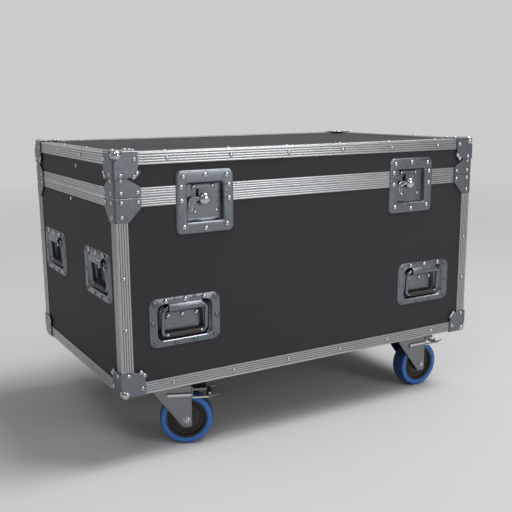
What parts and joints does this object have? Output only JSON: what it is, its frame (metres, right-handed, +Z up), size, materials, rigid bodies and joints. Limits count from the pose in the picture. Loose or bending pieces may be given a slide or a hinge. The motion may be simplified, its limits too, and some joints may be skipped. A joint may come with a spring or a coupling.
{
  "type": "flight case",
  "caption": "Road case of dark laminated board in ribbed aluminium edging, with a hinged lid, recessed latches, sprung handles and swivel casters.",
  "frame": {"origin": "middle of the footprint, on the ground under the casters", "axes": "+X along the case's length, to the right seen from the front; the front with the latches faces -Y; +Z up"},
  "size_m": [0.8096, 0.4835, 0.553],
  "materials": {
    "board": "dark grained laminate over plywood",
    "edging": "extruded, ribbed, satin",
    "plated_steel": "pressed, blue-grey plating",
    "bright_steel": "bright plating, lightly worn",
    "zinc": "zinc-plated sheet",
    "tyre": "blue elastic tyre on a dark core"
  },
  "bodies": {
    "base": {"base_back_panel": "board", "base_ball_corner_back_left": "plated_steel", "base_ball_corner_back_right": "plated_steel", "base_ball_corner_front_left": "plated_steel", "base_ball_corner_front_right": "plated_steel", "base_edge_frame": "edging", "base_floor_panel": "board", "base_front_panel": "board", "base_left_panel": "board", "base_right_panel": "board", "base_rim_frame": "edging", "base_rim_front": "edging", "caster_plate_back_left": "zinc", "caster_plate_back_right": "zinc", "caster_plate_front_left": "zinc", "caster_plate_front_right": "zinc", "handle_dish_front_left": "plated_steel", "handle_dish_front_right": "plated_steel", "handle_dish_left_back": "plated_steel", "handle_dish_left_front": "plated_steel", "handle_dish_right_back": "plated_steel", "handle_dish_right_front": "plated_steel", "hinge_base_leaf_left": "plated_steel", "hinge_base_leaf_right": "plated_steel", "latch_dish_left": "plated_steel", "latch_dish_right": "plated_steel"},
    "lid": {"hinge_lid_leaf_left": "plated_steel", "hinge_lid_leaf_right": "plated_steel", "latch_keeper_left": "plated_steel", "latch_keeper_right": "plated_steel", "lid_ball_corner_back_left": "plated_steel", "lid_ball_corner_back_right": "plated_steel", "lid_ball_corner_front_left": "plated_steel", "lid_ball_corner_front_right": "plated_steel", "lid_edge_frame": "edging", "lid_rim_frame": "edging", "lid_top_panel": "board", "lid_wall": "board"},
    "brake_pedal_front_left": {"brake_pedal_front_left": "bright_steel"},
    "brake_pedal_front_right": {"brake_pedal_front_right": "bright_steel"},
    "caster_fork_back_left": {"caster_fork_back_left": "zinc"},
    "caster_fork_back_right": {"caster_fork_back_right": "zinc"},
    "caster_fork_front_left": {"caster_fork_front_left": "zinc"},
    "caster_fork_front_right": {"caster_fork_front_right": "zinc"},
    "caster_wheel_back_left": {"caster_wheel_back_left": "tyre"},
    "caster_wheel_back_right": {"caster_wheel_back_right": "tyre"},
    "caster_wheel_front_left": {"caster_wheel_front_left": "tyre"},
    "caster_wheel_front_right": {"caster_wheel_front_right": "tyre"},
    "handle_bail_front_left": {"handle_bail_front_left": "bright_steel"},
    "handle_bail_front_right": {"handle_bail_front_right": "bright_steel"},
    "handle_bail_left_back": {"handle_bail_left_back": "bright_steel"},
    "handle_bail_left_front": {"handle_bail_left_front": "bright_steel"},
    "handle_bail_right_back": {"handle_bail_right_back": "bright_steel"},
    "handle_bail_right_front": {"handle_bail_right_front": "bright_steel"},
    "latch_hook_left": {"latch_hook_left": "bright_steel"},
    "latch_hook_right": {"latch_hook_right": "bright_steel"},
    "latch_spindle_left": {"latch_spindle_left": "bright_steel"},
    "latch_spindle_right": {"latch_spindle_right": "bright_steel"},
    "latch_wing_left": {"latch_wing_left": "bright_steel"},
    "latch_wing_right": {"latch_wing_right": "bright_steel"}
  },
  "joints": [
    {"name": "lid_open", "type": "hinge", "parent": "base", "child": "lid", "pos_m": [0, 0.2392, 0.4724], "axis": [-1, 0, 0], "range_deg": [0, 100]},
    {"name": "handle_swing_front_left", "type": "hinge", "parent": "base", "child": "handle_bail_front_left", "pos_m": [-0.2775, -0.2335, 0.275], "axis": [-1, 0, 0], "range_deg": [0, 90]},
    {"name": "handle_swing_front_right", "type": "hinge", "parent": "base", "child": "handle_bail_front_right", "pos_m": [0.2775, -0.2335, 0.275], "axis": [-1, 0, 0], "range_deg": [0, 90]},
    {"name": "handle_swing_left_front", "type": "hinge", "parent": "base", "child": "handle_bail_left_front", "pos_m": [-0.3975, -0.13, 0.3526], "axis": [0, 1, 0], "range_deg": [0, 90]},
    {"name": "handle_swing_left_back", "type": "hinge", "parent": "base", "child": "handle_bail_left_back", "pos_m": [-0.3975, 0.13, 0.3526], "axis": [0, 1, 0], "range_deg": [0, 90]},
    {"name": "handle_swing_right_front", "type": "hinge", "parent": "base", "child": "handle_bail_right_front", "pos_m": [0.3975, -0.13, 0.3526], "axis": [0, -1, 0], "range_deg": [0, 90]},
    {"name": "handle_swing_right_back", "type": "hinge", "parent": "base", "child": "handle_bail_right_back", "pos_m": [0.3975, 0.13, 0.3526], "axis": [0, -1, 0], "range_deg": [0, 90]},
    {"name": "latch_turn_left", "type": "hinge", "parent": "base", "child": "latch_spindle_left", "pos_m": [-0.2343, -0.2372, 0.462], "axis": [0, -1, 0], "range_deg": [0, 180]},
    {"name": "wing_fold_left", "type": "hinge", "parent": "latch_spindle_left", "child": "latch_wing_left", "pos_m": [-0.2469, -0.235, 0.462], "axis": [0, 0, 1], "range_deg": [0, 90]},
    {"name": "hook_tilt_left", "type": "hinge", "parent": "base", "child": "latch_hook_left", "pos_m": [-0.2343, -0.2308, 0.462], "axis": [-1, 0, 0], "range_deg": [0, 6]},
    {"name": "latch_turn_right", "type": "hinge", "parent": "base", "child": "latch_spindle_right", "pos_m": [0.2343, -0.2372, 0.462], "axis": [0, -1, 0], "range_deg": [0, 180]},
    {"name": "wing_fold_right", "type": "hinge", "parent": "latch_spindle_right", "child": "latch_wing_right", "pos_m": [0.2217, -0.235, 0.462], "axis": [0, 0, 1], "range_deg": [0, 90]},
    {"name": "hook_tilt_right", "type": "hinge", "parent": "base", "child": "latch_hook_right", "pos_m": [0.2343, -0.2308, 0.462], "axis": [-1, 0, 0], "range_deg": [0, 6]},
    {"name": "caster_swivel_front_left", "type": "hinge", "parent": "base", "child": "caster_fork_front_left", "pos_m": [-0.284, -0.178, 0.128], "axis": [0, 0, 1], "continuous": true},
    {"name": "wheel_spin_front_left", "type": "hinge", "parent": "caster_fork_front_left", "child": "caster_wheel_front_left", "pos_m": [-0.25933, -0.18898, 0.05], "axis": [0.4067, 0.9135, 0], "continuous": true},
    {"name": "pedal_press_front_left", "type": "hinge", "parent": "caster_fork_front_left", "child": "brake_pedal_front_left", "pos_m": [-0.284, -0.178, 0.0974], "axis": [0.4067, 0.9135, 0], "range_deg": [0, 7.4]},
    {"name": "caster_swivel_front_right", "type": "hinge", "parent": "base", "child": "caster_fork_front_right", "pos_m": [0.284, -0.178, 0.128], "axis": [0, 0, 1], "continuous": true},
    {"name": "wheel_spin_front_right", "type": "hinge", "parent": "caster_fork_front_right", "child": "caster_wheel_front_right", "pos_m": [0.311, -0.178, 0.05], "axis": [0, 1, 0], "continuous": true},
    {"name": "pedal_press_front_right", "type": "hinge", "parent": "caster_fork_front_right", "child": "brake_pedal_front_right", "pos_m": [0.284, -0.178, 0.0974], "axis": [0, 1, 0], "range_deg": [0, 7.4]},
    {"name": "caster_swivel_back_right", "type": "hinge", "parent": "base", "child": "caster_fork_back_right", "pos_m": [0.284, 0.178, 0.128], "axis": [0, 0, 1], "continuous": true},
    {"name": "wheel_spin_back_right", "type": "hinge", "parent": "caster_fork_back_right", "child": "caster_wheel_back_right", "pos_m": [0.311, 0.178, 0.05], "axis": [0, 1, 0], "continuous": true},
    {"name": "caster_swivel_back_left", "type": "hinge", "parent": "base", "child": "caster_fork_back_left", "pos_m": [-0.284, 0.178, 0.128], "axis": [0, 0, 1], "continuous": true},
    {"name": "wheel_spin_back_left", "type": "hinge", "parent": "caster_fork_back_left", "child": "caster_wheel_back_left", "pos_m": [-0.257, 0.178, 0.05], "axis": [0, 1, 0], "continuous": true}
  ],
  "couplings": [
    {"joint": "hook_tilt_left", "follows": "latch_turn_left", "ratio": 0.0333},
    {"joint": "hook_tilt_right", "follows": "latch_turn_right", "ratio": 0.0333}
  ]
}
